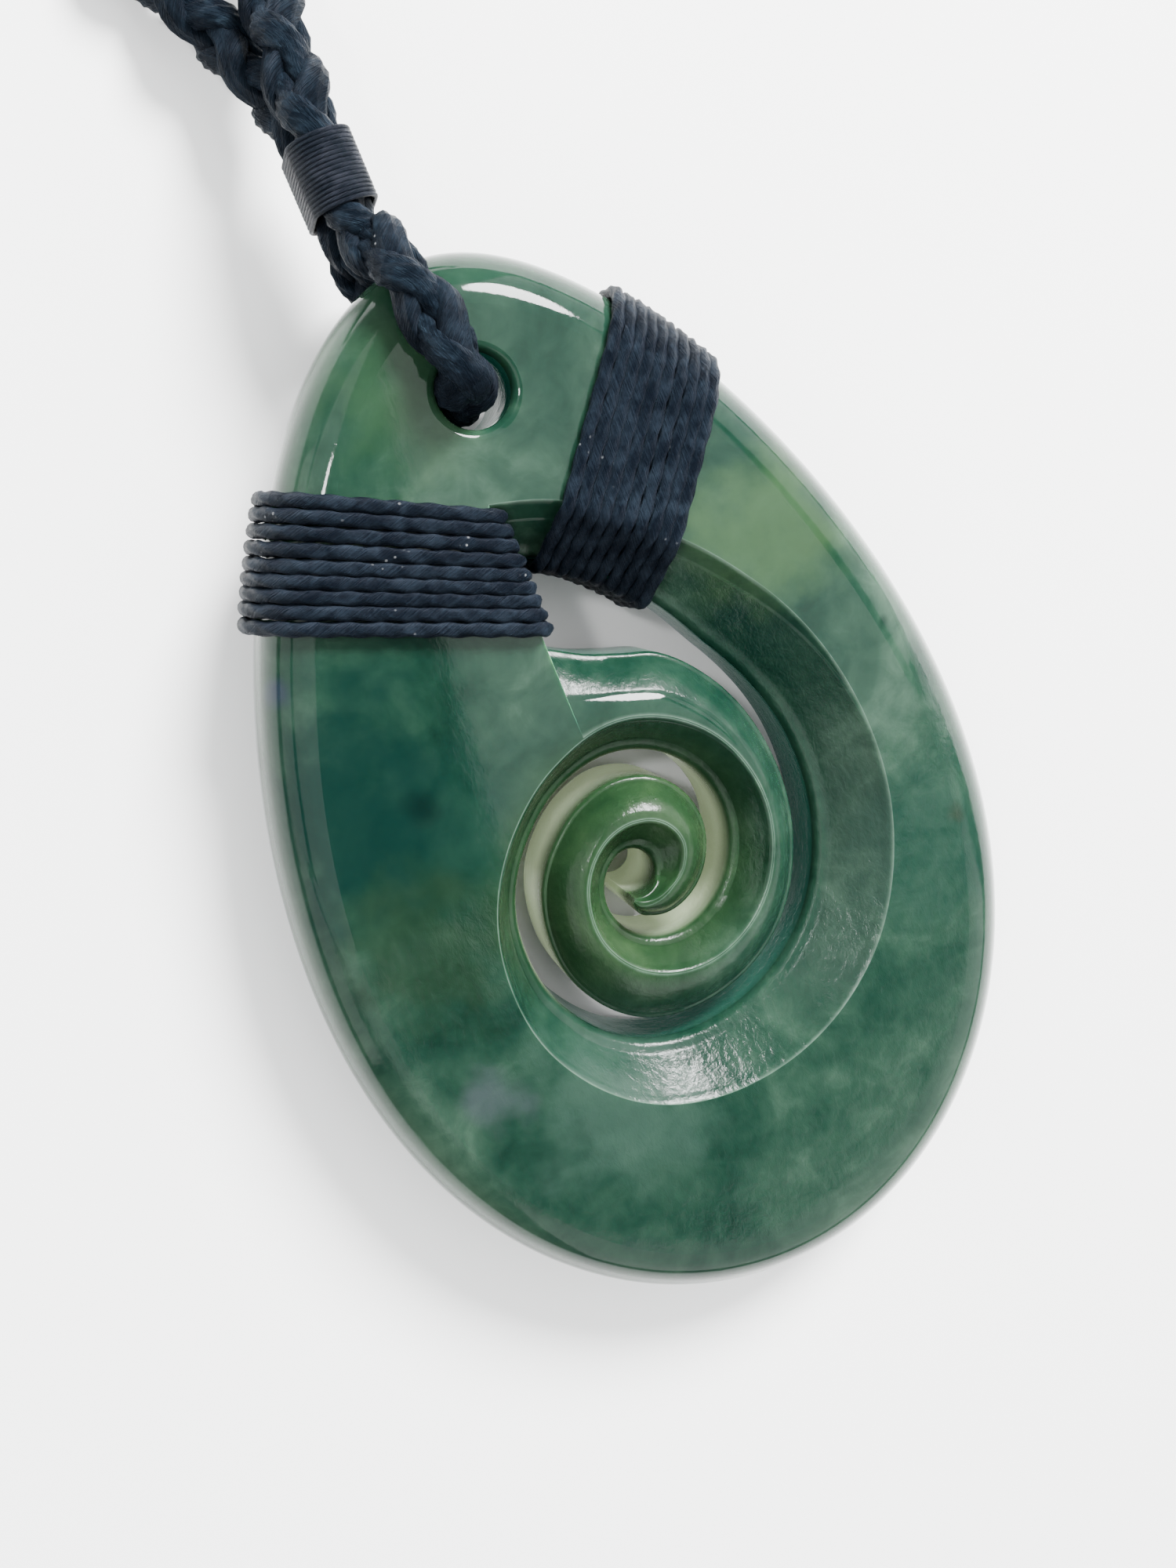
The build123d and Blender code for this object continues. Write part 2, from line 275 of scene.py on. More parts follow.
# %% Profiles beside the slot
flute_crest = 0.20
flank_crest = 0.06
crest_lead = 1.3
flute_edge = 0.8
flank_edge = 0.3
flank_curve = 1.9
back_round = 1.0
steepest = 1.4
crest_limit = 0.3
edge_limit = 0.35
back_limit = 0.33
slope_steps = 14
corner_steps = 4
wall_steps = 6


def side_profile(crest, foot, drop, hollow, limit):
    """Points (radius, height) from the crest's land, down the slope to the foot, the wall and the back."""
    way = 1 if foot > crest else -1
    span = abs(foot - crest)
    drop = min(drop, steepest * span)
    soft = min(flute_crest if hollow else flank_crest, crest_limit * span) * min(limit, 1)
    edge = min(flute_edge if hollow else flank_edge, edge_limit * span)
    back = min(back_round, back_limit * limit)
    points = [(crest - way * soft * crest_lead, stone_thickness)]
    for k in range(slope_steps + 1):
        share = k / slope_steps
        fall = share if hollow else share ** flank_curve
        blend = min(share * span / (2 * soft + 1e-6), 1)
        radius = crest - way * soft * (1 - share) + way * (span - edge) * share
        points.append((radius, stone_thickness - drop * fall * blend))
    shoulder = points[-1][1]
    for k in range(1, corner_steps + 1):
        turn = pi / 2 * k / corner_steps
        points.append((foot - way * edge * (1 - sin(turn)), shoulder - edge * (1 - cos(turn))))
    shoulder -= edge
    for k in range(1, wall_steps + 1):
        points.append((foot, shoulder + (back - shoulder) * k / wall_steps))
    for k in range(1, corner_steps + 1):
        turn = pi / 2 * k / corner_steps
        points.append((foot - way * back * (1 - cos(turn)), back * (1 - sin(turn))))
    return points


# %% [markdown]
# The flute falls to the slot's outer wall. The coil's flank starts from a crest of its own, a narrow land
# away, and falls to the inner wall. Both grow shallower as the koru winds in.

# %% Flute and flank
flute_depth = 3.0
flute_fade = 2
flank_drop = 2.4
flank_fade = 3
ridge_land = 0.35


def inner_profile(angle):
    """From the crest down the flute to the slot's outer wall."""
    crest = koru_column(angle, ridge_column)
    drop = flute_depth * (1 - wound_in(angle) / flute_fade)
    return side_profile(crest, wall_radius(angle), drop, True, arm_width(angle))


def outer_profile(angle):
    """From the crest down the coil's flank to the slot's inner wall; angle is the slot's."""
    limit = arm_width(angle - 360)
    crest = koru_column(angle - 360, ridge_column) + ridge_land * min(1, limit)
    drop = flank_drop * (1 - wound_in(angle) / flank_fade)
    return side_profile(min(crest, coil_radius(angle)), coil_radius(angle), drop, False, limit)


print("points in a profile:", len(inner_profile(first_angle)), "and", len(outer_profile(first_angle)))

# %% [markdown]
# Each side is a grid that is bent into place: one direction runs along the spiral or the rim, the other down
# the profile. The crest's row is marked in an attribute of its own, because a painted highlight runs along
# it.

# %% Grids for the stone
crest_row = 1
same_level = 1e-4


def patch(bm, columns, rows, place, marked_row=None):
    """A grid of quads whose corners are put at place(column, row); one row may be marked as the crest."""
    crest_mark = bm.verts.layers.float["crest"]
    made = bmesh.ops.create_grid(bm, x_segments=columns, y_segments=rows, size=0.5)
    for vert in made["verts"]:
        column = round((vert.co.x + 0.5) * columns)
        row = round((vert.co.y + 0.5) * rows)
        vert.co = place(column, row)
        vert[crest_mark] = float(row == marked_row)


def fill_level(bm, level):
    """Fills what is open at one height with flat triangles."""
    rim = [
        edge for edge in bm.edges
        if len(edge.link_faces) == 1 and all(abs(vert.co.z - level) < same_level for vert in edge.verts)
    ]
    bmesh.ops.triangle_fill(bm, edges=rim, use_beauty=True, normal=(0, 0, 1))


# %% [markdown]
# The slot's two sides run along the spiral from the mouth. The outer wall goes one turn further than the
# coil's edge, round the eye. Two narrow grids join the sides at the mouth and at the hook's tip.

# %% Sides of the slot
turn_step = 1.5
end_columns = 10


def slot_angles(last):
    """Even steps along the slot, from its mouth to the last angle."""
    span = first_angle - last
    count = round(span / turn_step)
    return [first_angle - span * k / count for k in range(count + 1)]


inner_angles = slot_angles(hook_angle - 360)
outer_angles = slot_angles(hook_angle)
inner_lines = [inner_profile(angle) for angle in inner_angles]
outer_lines = [outer_profile(angle) for angle in outer_angles]
profile_count = len(inner_lines[0]) - 1


def add_side(bm, angles, lines):
    """One side of the slot, from its profiles."""
    patch(bm, len(angles) - 1, profile_count, lambda i, j: around_koru(angles[i], *lines[i][j]), crest_row)


def add_end(bm, end):
    """An end of the slot, straight between its two sides' profiles."""
    def end_point(column, row):
        outer, inner = Vector(outer_lines[end][row]), Vector(inner_lines[end][row])
        return around_koru(inner_angles[end], *outer.lerp(inner, column / end_columns))

    patch(bm, end_columns, profile_count, end_point, crest_row)


stone_bm = bmesh.new()
stone_bm.verts.layers.float.new("crest")
add_side(stone_bm, inner_angles, inner_lines)
add_side(stone_bm, outer_angles, outer_lines)
for end in (0, -1):
    add_end(stone_bm, end)
print("sides of the slot:", len(stone_bm.faces), "faces")

# %% [markdown]
# The rim and the drilled hole are rounded towards both faces. Each has a short line of depth and height, a
# quarter circle from the top face and its mirror image on the back, and that line is carried round.

# %% Rim and drilled hole
rim_columns = 300
rim_steps = 10
hole_across = 0.1
hole_radius = 2.2
hole_flare = 0.6
hole_columns = 48
hole_steps = 4


def quarter(radius, steps):
    """A quarter of a circle as pairs of depth and drop, from the face to the side."""
    turns = [k * pi / 2 / steps for k in range(steps + 1)]
    return [(radius * (1 - sin(turn)), radius * (1 - cos(turn))) for turn in turns]


def both_faces(line):
    """A line of places and heights that starts at the top face, with its mirror image on the back."""
    return line + [(place, stone_thickness - height) for place, height in reversed(line)]


rim_line = both_faces([(depth, stone_thickness - drop) for depth, drop in quarter(rim_radius, rim_steps)])
hole_line = both_faces([
    (hole_radius + depth, stone_thickness - drop) for depth, drop in quarter(hole_flare, hole_steps)
])


def rim_point(column, row):
    """A point of the stone's rounded rim."""
    depth, height = rim_line[row]
    return egg_inset(column / rim_columns, depth).to_3d() + Vector((0, 0, height))


def hole_point(column, row):
    """A point of the drilled hole, which has a soft mouth on both faces."""
    radius, height = hole_line[row]
    turn = 2 * pi * column / hole_columns
    return Vector((hole_across + radius * cos(turn), hole_along + radius * sin(turn), height))


patch(stone_bm, rim_columns, len(rim_line) - 1, rim_point)
patch(stone_bm, hole_columns, len(hole_line) - 1, hole_point)
print("with the rim and the hole:", len(stone_bm.faces), "faces")

# %% [markdown]
# The grids are merged where they meet, and the flat face and back are filled between them. Smooth shading
# over a large flat face would bend its reflections, so only the curved parts are smooth, and sharp edges stay
# sharp. The stone also keeps how upright its surface is, for the painted light on the slot's walls.

# %% Finished stone
merge_distance = 0.0005
sharp_angle = 40
level_normal = 0.99999

bmesh.ops.remove_doubles(stone_bm, verts=stone_bm.verts, dist=merge_distance)
fill_level(stone_bm, stone_thickness)
fill_level(stone_bm, 0)
bmesh.ops.recalc_face_normals(stone_bm, faces=stone_bm.faces)
for edge in stone_bm.edges:
    edge.smooth = edge.calc_face_angle(0) < radians(sharp_angle)
for face in stone_bm.faces:
    face.smooth = abs(face.normal.z) < level_normal
for vert in stone_bm.verts:
    vert.co = from_stone(*vert.co)
open_edges = sum(1 for edge in stone_bm.edges if len(edge.link_faces) != 2)
print("stone:", len(stone_bm.faces), "faces, open edges:", open_edges)
print("stone's volume in cm3:", round(stone_bm.calc_volume() * 1e6, 2))
stone_mesh = bpy.data.meshes.new("jade_stone")
stone_bm.to_mesh(stone_mesh)
stone_bm.free()
upright_mark = stone_mesh.attributes.new("wall", "FLOAT", "POINT")
upright_mark.data.foreach_set("value", [1 - abs(vert.normal.z) for vert in stone_mesh.vertices])
stone = bpy.data.objects.new("jade_stone", stone_mesh)
bpy.context.scene.collection.objects.link(stone)
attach(stone, "root")
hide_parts("koru_stone")

# %% [markdown]
# Every cord here is a thread: a tube that follows a line of points. A curve with a bevel would make a plain
# tube, but not plies or grooves. The line's two side directions are carried along it without twist, and its
# points are spaced evenly, so that a pattern along it has the same size everywhere.

# %% Lines of points
def steady_frames(points):
    """Two directions square to the line at each point, carried along it without twist."""
    frames = []
    across = None
    for k, point in enumerate(points):
        ahead = (points[min(k + 1, len(points) - 1)] - points[max(k - 1, 0)]).normalized()
        if across is None:
            across = ahead.orthogonal()
        across = (across - ahead * across.dot(ahead)).normalized()
        frames.append((across, ahead.cross(across)))
    return frames


def lengths_along(points):
    """The length of the line up to each of its points."""
    total = [0.0]
    for before, after in zip(points, points[1:]):
        total.append(total[-1] + (after - before).length)
    return total


def even_points(points, step):
    """Points on the same line, evenly spaced."""
    total = lengths_along(points)
    count = max(round(total[-1] / step), 2)
    made = []
    k = 0
    for i in range(count + 1):
        goal = total[-1] * i / count
        while k < len(points) - 2 and total[k + 1] < goal:
            k += 1
        share = (goal - total[k]) / max(total[k + 1] - total[k], 1e-9)
        made.append(points[k].lerp(points[k + 1], min(share, 1)))
    return made


# %% [markdown]
# A thread starts as a flat grid that is rolled round its line. A small function may swell its surface, such
# as into the three plies of a twisted cord. Its texture coordinates run round it and along it.

# %% Threads
def add_thread(bm, points, radius, sides, swell=None, frames=None):
    """A closed tube along the points; swell(turn, length) is the share by which its radius changes."""
    frames = frames or steady_frames(points)
    total = lengths_along(points)
    texture = bm.loops.layers.uv.verify()
    made = bmesh.ops.create_grid(bm, x_segments=len(points) - 1, y_segments=sides, size=0.5)
    faces = {face for vert in made["verts"] for face in vert.link_faces}
    places = {}
    for vert in made["verts"]:
        column = round((vert.co.x + 0.5) * (len(points) - 1))
        row = round((vert.co.y + 0.5) * sides)
        turn = 2 * pi * row / sides
        size = radius * (1 + (swell(turn, total[column]) if swell else 0))
        across, over = frames[column]
        places[vert] = (row / sides, total[column])
        vert.co = points[column] + (across * cos(turn) + over * sin(turn)) * size
    for face in faces:
        for loop in face.loops:
            loop[texture].uv = places[loop.vert]
    bmesh.ops.remove_doubles(bm, verts=made["verts"], dist=radius * 0.001)


def finish_piece(bm, name, nodes):
    """Closes open ends, sets the normals outward and links the piece, in place of its frame nodes."""
    bmesh.ops.holes_fill(bm, edges=[edge for edge in bm.edges if len(edge.link_faces) == 1], sides=0)
    bmesh.ops.recalc_face_normals(bm, faces=bm.faces)
    for face in bm.faces:
        face.smooth = True
    mesh = bpy.data.meshes.new(name)
    bm.to_mesh(mesh)
    print(name, "has", len(bm.faces), "faces")
    bm.free()
    piece = bpy.data.objects.new(name, mesh)
    bpy.context.scene.collection.objects.link(piece)
    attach(piece, "root")
    for node in nodes:
        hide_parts(node)
    return piece


# %% [markdown]
# The neck cord goes from the nape through the whipping, down through the stone's hole and back. Its line is
# one smooth spline. Its controls are the route of the frame's tube, with a weight that pulls the spline
# closer to the tight corners.

# %% Line of the neck cord
loop_middle = Vector((-0.5, 136.62, 0))
cord_route = [
    # x, y, z and weight, from the stone's middle
    (-0.1, 306, 2.02, 1), (-20, 306.2, 2.02, 1), (-52, 293, 1.62, 1), (-73, 252, 1.62, 1),
    (-76, 200, 1.62, 1), (-62, 150, 1.62, 1), (-38, 105, 1.62, 1), (-16, 73, 1.62, 1),
    (-5.0, 54.8, 1.62, 1), (-2.3, 43.9, 6.45, 2), (-2.3, 36.15, 6.45, 2), (-1.3, 34.0, 1.62, 1),
    (-0.25, 26.47, 1.62, 3), (-0.25, 25.73, 13.7, 3), (-1.3, 34.1, 14.2, 1), (-2.3, 36.15, 9.7, 2),
    (-2.3, 43.9, 9.7, 2), (-1.0, 51.6, 6.0, 1), (1.7, 60.6, 1.62, 1), (13.6, 79.5, 1.62, 1),
    (37, 110, 1.62, 1), (61, 155, 1.62, 1), (75, 205, 1.62, 1), (72, 256, 1.62, 1),
    (51, 295, 1.62, 1), (20, 306.2, 2.02, 1), (0.1, 306, 2.02, 1),
]
spline_fineness = 40
cord_step = 0.45 * MM


def spline_points(route, fineness):
    """Points of a smooth spline with the route's points as its controls."""
    data = bpy.data.curves.new("line", "CURVE")
    data.dimensions = "3D"
    data.resolution_u = fineness
    spline = data.splines.new("NURBS")
    spline.points.add(len(route) - 1)
    for control, (x, y, z, weight) in zip(spline.points, route):
        control.co = (*((Vector((x, y, z)) - loop_middle) * MM), weight)
    spline.order_u = 3
    spline.use_endpoint_u = True
    holder = bpy.data.objects.new("line", data)
    mesh = bpy.data.meshes.new_from_object(holder)
    points = [vert.co.copy() for vert in mesh.vertices]
    bpy.data.meshes.remove(mesh)
    bpy.data.objects.remove(holder)
    bpy.data.curves.remove(data)
    return points


cord_line = even_points(spline_points(cord_route, spline_fineness), cord_step)
cord_lengths = lengths_along(cord_line)
cord_frames = steady_frames(cord_line)
print("neck cord length in mm:", round(cord_lengths[-1] / MM, 1))

# %% [markdown]
# The whipping and the drilled hole draw the plait together. The strands come nearer to the cord's middle
# there, with a soft step on both sides, as a real cord gives way where it is bound.

# %% Where the plait is drawn together
whipping_middle = (Vector((-2.3, 40.0, 8.075)) - loop_middle) * MM
whipping_length = 4.4 * MM
whipping_fade = 1.6 * MM
whipping_reach = 8 * MM
whipping_squeeze = 0.16
hole_middle = from_stone(hole_across, hole_along, stone_thickness / 2)
hole_reach = 2.6 * MM
hole_fade = 3 * MM
hole_squeeze = 0.15


def squeeze(point):
    """How far out the strands lie at a point, as a share of their free distance."""
    off = abs(point.y - whipping_middle.y) - whipping_length / 2
    bound = (point - whipping_middle).length < whipping_reach
    near = min(max(1 - off / whipping_fade, 0), 1) if bound else 0
    in_hole = min(max(1 - ((point - hole_middle).length - hole_reach) / hole_fade, 0), 1)
    return (1 - whipping_squeeze * near * near * (3 - 2 * near)) * (1 - hole_squeeze * in_hole)


print("strands drawn in at the whipping to:", round(squeeze(whipping_middle), 2))
print("strands drawn in at the hole to:", round(squeeze(hole_middle), 2))

# %% [markdown]
# The cord is a round plait of four strands. Two turn one way round the line and two the other way, and each
# goes over one and under the next, so its distance from the middle rises and falls twice a turn.

# %% Paths of the strands
plait_pitch = 11.0 * MM
plait_reach = 0.86 * MM
plait_weave = 0.38 * MM
wander_pitch = 3.1 * MM
wander_turn = 0.10
wander_reach = 0.05 * MM
wander_start = 2.3


def strand_points(hand, phase):
    """The middle line of one strand, and the direction out of the cord at each point."""
    middles, outs = [], []
    for centre, (across, over), length in zip(cord_line, cord_frames, cord_lengths):
        wander = sin(length / wander_pitch + phase * wander_start)
        angle = hand * 2 * pi * length / plait_pitch + phase + wander_turn * wander
        out = across * cos(angle) + over * sin(angle)
        reach = plait_reach + hand * plait_weave * cos(2 * angle) + wander_reach * wander
        middles.append(centre + out * reach * squeeze(centre))
        outs.append(out)
    return middles, outs


def strand_frames(middles, outs):
    """Directions square to the strand: sideways on the cord's surface, and out of it."""
    frames = []
    for k, out in enumerate(outs):
        ahead = (middles[min(k + 1, len(middles) - 1)] - middles[max(k - 1, 0)]).normalized()
        aside = ahead.cross(out).normalized()
        frames.append((aside, aside.cross(ahead)))
    return frames


# %% [markdown]
# A strand is wider than it is thick, with a few soft grooves along it. Where the cord lies on the floor, the
# strands are pressed flat on it.

# %% Plaited neck cord
strand_radius = 0.84 * MM
strand_sides = 28
strand_flatness = 0.17
strand_grooves = 7
groove_depth = 0.07
groove_pitch = 13 * MM
knot_pitch = 1.7 * MM
knot_depth = 0.03


def strand_swell(turn, length):
    """Flattens the strand and cuts its grooves, which twist slowly round it."""
    groove = cos(strand_grooves * (turn - 2 * pi * length / groove_pitch))
    return strand_flatness * cos(2 * turn) + groove_depth * groove + knot_depth * sin(length / knot_pitch)


def plait_strand(name, hand, phase, nodes):
    """One strand of the plait, from end to end of the cord."""
    middles, outs = strand_points(hand, phase)
    bm = bmesh.new()
    add_thread(bm, middles, strand_radius, strand_sides, strand_swell, strand_frames(middles, outs))
    for vert in bm.verts:
        vert.co.z = max(vert.co.z, 0)
    return finish_piece(bm, name, nodes)


strands = [
    plait_strand("plait_strand_1", 1, 0, ["neck_braid"]),
    plait_strand("plait_strand_2", 1, pi, []),
    plait_strand("plait_strand_3", -1, 0, []),
    plait_strand("plait_strand_4", -1, pi, []),
]

# %% [markdown]
# A binding goes round an arm of the stone turn by turn. Each turn follows the arm's section: the rounded rim,
# the flat face, the side of the slot and the back. To find a section, a curve of the stone is searched for
# the place where it crosses the turn's line, by halving the stretch that holds it.

# %% Sections of the two arms
slot_bend = 0.6
halvings = 40
egg_stretch = 0.3
mouth_stretch = (20, 90)


def crossing(curve, low, high, heading, distance):
    """Where a curve of the stone's plane lies at a distance from the koru's centre, square to a heading."""
    along = Vector((-sin(radians(heading)), cos(radians(heading))))
    rising = (curve(high) - curve(low)).dot(along) > 0
    for _ in range(halvings):
        middle = (low + high) / 2
        beyond = (curve(middle) - koru_centre).dot(along) > distance
        if beyond == rising:
            high = middle
        else:
            low = middle
    return curve((low + high) / 2)


def reach_of(point, heading):
    """How far a point of the stone's plane lies along a heading, from the koru's centre."""
    return (point - koru_centre).dot(Vector((cos(radians(heading)), sin(radians(heading)))))


def koru_reach(column, heading, distance):
    """How far out a line of the koru's table is crossed, near the slot's mouth."""
    def line(angle):
        return around_koru(angle, koru_column(angle, column), 0).to_2d()

    return reach_of(crossing(line, *mouth_stretch, heading, distance), heading)


def left_section(heading, distance):
    """Corners and bends of the left arm's section."""
    rim = reach_of(crossing(egg_point, -egg_stretch, 0, heading, distance), heading)
    inner = distance * tan(radians(heading))
    corners = [(rim, 0), (inner, 0), (inner, stone_thickness), (rim, stone_thickness)]
    return corners, [rim_radius, slot_bend, slot_bend, rim_radius]


def right_section(heading, distance):
    """Corners and bends of the right arm's section, cut back from the ridge to the slot's wall."""
    rim = reach_of(crossing(egg_point, 0, egg_stretch, heading, distance), heading)
    ridge = koru_reach(ridge_column, heading, distance)
    wall = koru_reach(wall_column, heading, distance)
    low = stone_thickness - flute_depth
    corners = [(wall, 0), (rim, 0), (rim, stone_thickness), (ridge, stone_thickness), (wall, low)]
    return corners, [slot_bend, rim_radius, rim_radius, slot_bend, slot_bend]


# %% [markdown]
# A cord that is pulled tight goes straight from corner to corner and bends round each. The bindings and the
# whippings all do that, so one helper makes the path from any corners.

# %% Path round the corners
bend_steps = 8


def rounded_path(corners, bends, grow):
    """A closed line round the corners, grown outward; it starts and ends in the middle of the first side."""
    corners = [Vector(corner) for corner in corners]
    count = len(corners)
    path = []
    for k in range(1, count + 1):
        before, corner, after = corners[k - 1], corners[k % count], corners[(k + 1) % count]
        coming, going = (corner - before).normalized(), (after - corner).normalized()
        turn = -coming.angle_signed(going)
        centre = corner + (going - coming).normalized() * bends[k % count] / cos(turn / 2)
        out = Vector((coming.y, -coming.x))
        for step in range(bend_steps + 1):
            bend = turn * step / bend_steps
            spoke = Vector((out.x * cos(bend) - out.y * sin(bend), out.x * sin(bend) + out.y * cos(bend)))
            path.append(centre + spoke * (bends[k % count] + grow))
    start = (path[0] + path[-1]) / 2
    return [start, *path, start]


# %% [markdown]
# Each binding is one long cord of three twisted plies. Separate rings would be easier, but one cord steps
# from turn to turn at the back, as a wound one does. Small steady changes of tilt, place and height keep the
# turns from looking like a machine's.

# %% Bindings
cord_fullness = 0.52
cord_sides = 12
binding_step = 0.24 * MM
ply_count = 3
ply_pitch = 1.9 * MM
ply_depth = 0.11
cord_lift = 0.12
step_over = 0.07
tilt_change = 0.10
place_change = 0.03
lift_change = 0.05


def plies(turn, length):
    """The swell of a cord of three twisted plies."""
    return ply_depth * cos(ply_count * (turn - 2 * pi * length / (ply_pitch * ply_count)))


def wind(name, node, section, heading, spread, distance, width, turns, pivot):
    """One cord wound round an arm; the turns fan out by spread degrees about the pivot's reach."""
    line = []
    cord_radius = cord_fullness * width / turns
    for k in range(turns):
        share = (k + 0.5) / turns - 0.5
        turn_heading = heading + spread * share + tilt_change * sin(5.1 * k)
        jitter = place_change * sin(7.3 * k + heading)
        shift = distance + width * share + jitter - pivot * sin(radians(spread * share))
        corners, bends = section(turn_heading, shift)
        lift = cord_lift + lift_change * sin(3.1 * k)
        path = rounded_path(corners, bends, cord_radius + lift)
        total = lengths_along(path)
        out = Vector((cos(radians(turn_heading)), sin(radians(turn_heading))))
        along = Vector((-out.y, out.x))
        for point, length in zip(path[:-1], total):
            over = min(max((length / total[-1] - (1 - step_over)) / step_over, 0), 1)
            spot = koru_centre + out * point.x + along * (shift + over * width / turns)
            line.append(from_stone(spot.x, spot.y, point.y))
    bm = bmesh.new()
    add_thread(bm, even_points(line, binding_step), cord_radius * MM, cord_sides, plies)
    return finish_piece(bm, name, [node])


left_cord = wind(
    "left_binding_cord", "left_binding", left_section,
    heading=-25, spread=-4, distance=18.2, width=7.6, turns=9, pivot=-14,
)
right_cord = wind(
    "right_binding_cord", "right_binding", right_section,
    heading=52.0, spread=-1.5, distance=7.1, width=7.7, turns=10, pivot=20,
)

# %% [markdown]
# Fine thread holds both legs of the plait together at the stone's tip, and its two ends at the nape. It is
# wound like the bindings, but its turns advance evenly all the way round, because they are so fine.

# %% Whippings
thread_sides = 8
thread_step = 0.3 * MM
thread_fullness = 1.04
cord_rest = 0.98


def whip(name, node, middle, across, axis, half_width, half_height, length, turns):
    """A thread wound round the cord's legs in even turns."""
    radius = length / turns / 2
    corners = [(x * half_width, y * half_height) for x, y in ((-1, -1), (1, -1), (1, 1), (-1, 1))]
    path = rounded_path(corners, [half_width * cord_rest] * 4, radius / MM)
    total = lengths_along(path)
    line = []
    for k in range(turns):
        for point, done in zip(path[:-1], total):
            share = (k + done / total[-1]) / turns - 0.5
            spot = middle + across * point.x * MM + Vector((0, 0, 1)) * point.y * MM
            line.append(spot + axis * share * (length - 2 * radius))
    bm = bmesh.new()
    add_thread(bm, even_points(line, thread_step), radius * thread_fullness, thread_sides)
    return finish_piece(bm, name, [node])


nape_middle = (Vector((0, 306, 2.02)) - loop_middle) * MM
front_thread = whip(
    "front_whipping_thread", "front_whipping", whipping_middle,
    across=Vector((1, 0, 0)), axis=Vector((0, 1, 0)),
    half_width=1.72, half_height=1.72 + 1.625, length=whipping_length, turns=16,
)
nape_thread = whip(
    "nape_whipping_thread", "nape_whipping", nape_middle,
    across=Vector((0, 1, 0)), axis=Vector((1, 0, 0)),
    half_width=1.66, half_height=1.67, length=14 * MM, turns=40,
)

# %% [markdown]
# Every material is a tree of nodes, and the same few steps come again and again. Small helpers keep them
# short: one makes a material, one adds a node, one joins a node's inputs, and the others are the node kinds
# that are used most.

# %% Shader helpers
def new_material(name):
    """A material with its node tree and its main shader."""
    material = bpy.data.materials.new(name)
    material.use_nodes = True
    return material, material.node_tree, material.node_tree.nodes["Principled BSDF"]


def join(tree, node, inputs):
    """Sets a node's inputs, or joins them to other nodes' outputs."""
    for name, value in inputs.items():
        if isinstance(value, bpy.types.NodeSocket):
            tree.links.new(value, node.inputs[name])
        else:
            node.inputs[name].default_value = value


def add_node(tree, kind, inputs, **settings):
    """Adds a shader node; each input is either a value or another node's output."""
    node = tree.nodes.new("ShaderNode" + kind)
    for name, value in settings.items():
        setattr(node, name, value)
    join(tree, node, inputs)
    return node


def maths(tree, operation, first, second=0.0):
    """One sum with one or two numbers."""
    return add_node(tree, "Math", {0: first, 1: second}, operation=operation).outputs[0]


def times(tree, first, second):
    """Two numbers multiplied."""
    return maths(tree, "MULTIPLY", first, second)


def plus(tree, first, second):
    """Two numbers added."""
    return maths(tree, "ADD", first, second)


def vector_maths(tree, operation, first, second=(0, 0, 0)):
    """One sum with vectors; a length or a distance comes out as a number."""
    node = add_node(tree, "VectorMath", {0: first, 1: second}, operation=operation)
    return node.outputs["Value" if operation in ("LENGTH", "DISTANCE") else "Vector"]


def scaled(tree, vector, factor):
    """A vector made longer or shorter by a number."""
    return add_node(tree, "VectorMath", {0: vector, "Scale": factor}, operation="SCALE").outputs["Vector"]


# %% [markdown]
# Colours and patterns need a few more: a noise, a soft step between two limits, a ramp of colours, a mix of
# two colours, a mark that a mesh carries on its points, and a bump that tilts the surface without moving it.

# %% Helpers for colours and patterns
def noise(tree, vector, scale, detail=3, roughness=0.5, distortion=0):
    """The share from a noise texture."""
    return add_node(tree, "TexNoise", {
        "Vector": vector, "Scale": scale, "Detail": detail, "Roughness": roughness, "Distortion": distortion,
    }).outputs["Fac"]


def between(tree, value, low, high):
    """A soft step: 0 where the value is low and 1 where it is high."""
    inputs = {"Value": value, "From Min": low, "From Max": high}
    return add_node(tree, "MapRange", inputs, interpolation_type="SMOOTHSTEP").outputs["Result"]


def ramp(tree, share, stops):
    """A colour ramp with the given (position, colour) stops."""
    node = add_node(tree, "ValToRGB", {"Fac": share})
    while len(node.color_ramp.elements) < len(stops):
        node.color_ramp.elements.new(0.5)
    for element, (position, colour) in zip(node.color_ramp.elements, stops):
        element.position = position
        element.color = (*colour, 1)
    return node.outputs["Color"]


def mixed(tree, share, first, second):
    """The first colour where the share is 0, the second where it is 1."""
    node = add_node(tree, "Mix", {"Factor": share}, data_type="RGBA")
    for socket, value in ((node.inputs[6], first), (node.inputs[7], second)):
        if isinstance(value, bpy.types.NodeSocket):
            tree.links.new(value, socket)
        else:
            socket.default_value = (*value, 1)
    return node.outputs[2]


def mark(tree, name):
    """What the mesh's own attribute says at each point."""
    return add_node(tree, "Attribute", {}, attribute_name=name).outputs["Fac"]


def bumped(tree, height, distance, **more):
    """A normal that is tilted by a pattern of heights."""
    inputs = {"Height": height, "Distance": distance, "Strength": 1.0, **more}
    return add_node(tree, "Bump", inputs).outputs[0]


# %% [markdown]
# Jade is mottled from dark blue-green to pale green. Two noises, one broad and one fine, are mixed and sent
# through a ramp. The pattern is placed in millimetres from the stone's middle, so it belongs to the stone and
# stays on it in every view.

# %% Ground colour of the jade
jade_stops = [
    (0.32, (0.0010, 0.010, 0.0060)),
    (0.43, (0.0034, 0.0175, 0.0106)),
    (0.55, (0.0090, 0.0275, 0.0170)),
    (0.70, (0.0250, 0.054, 0.0350)),
]
broad_share = 0.66

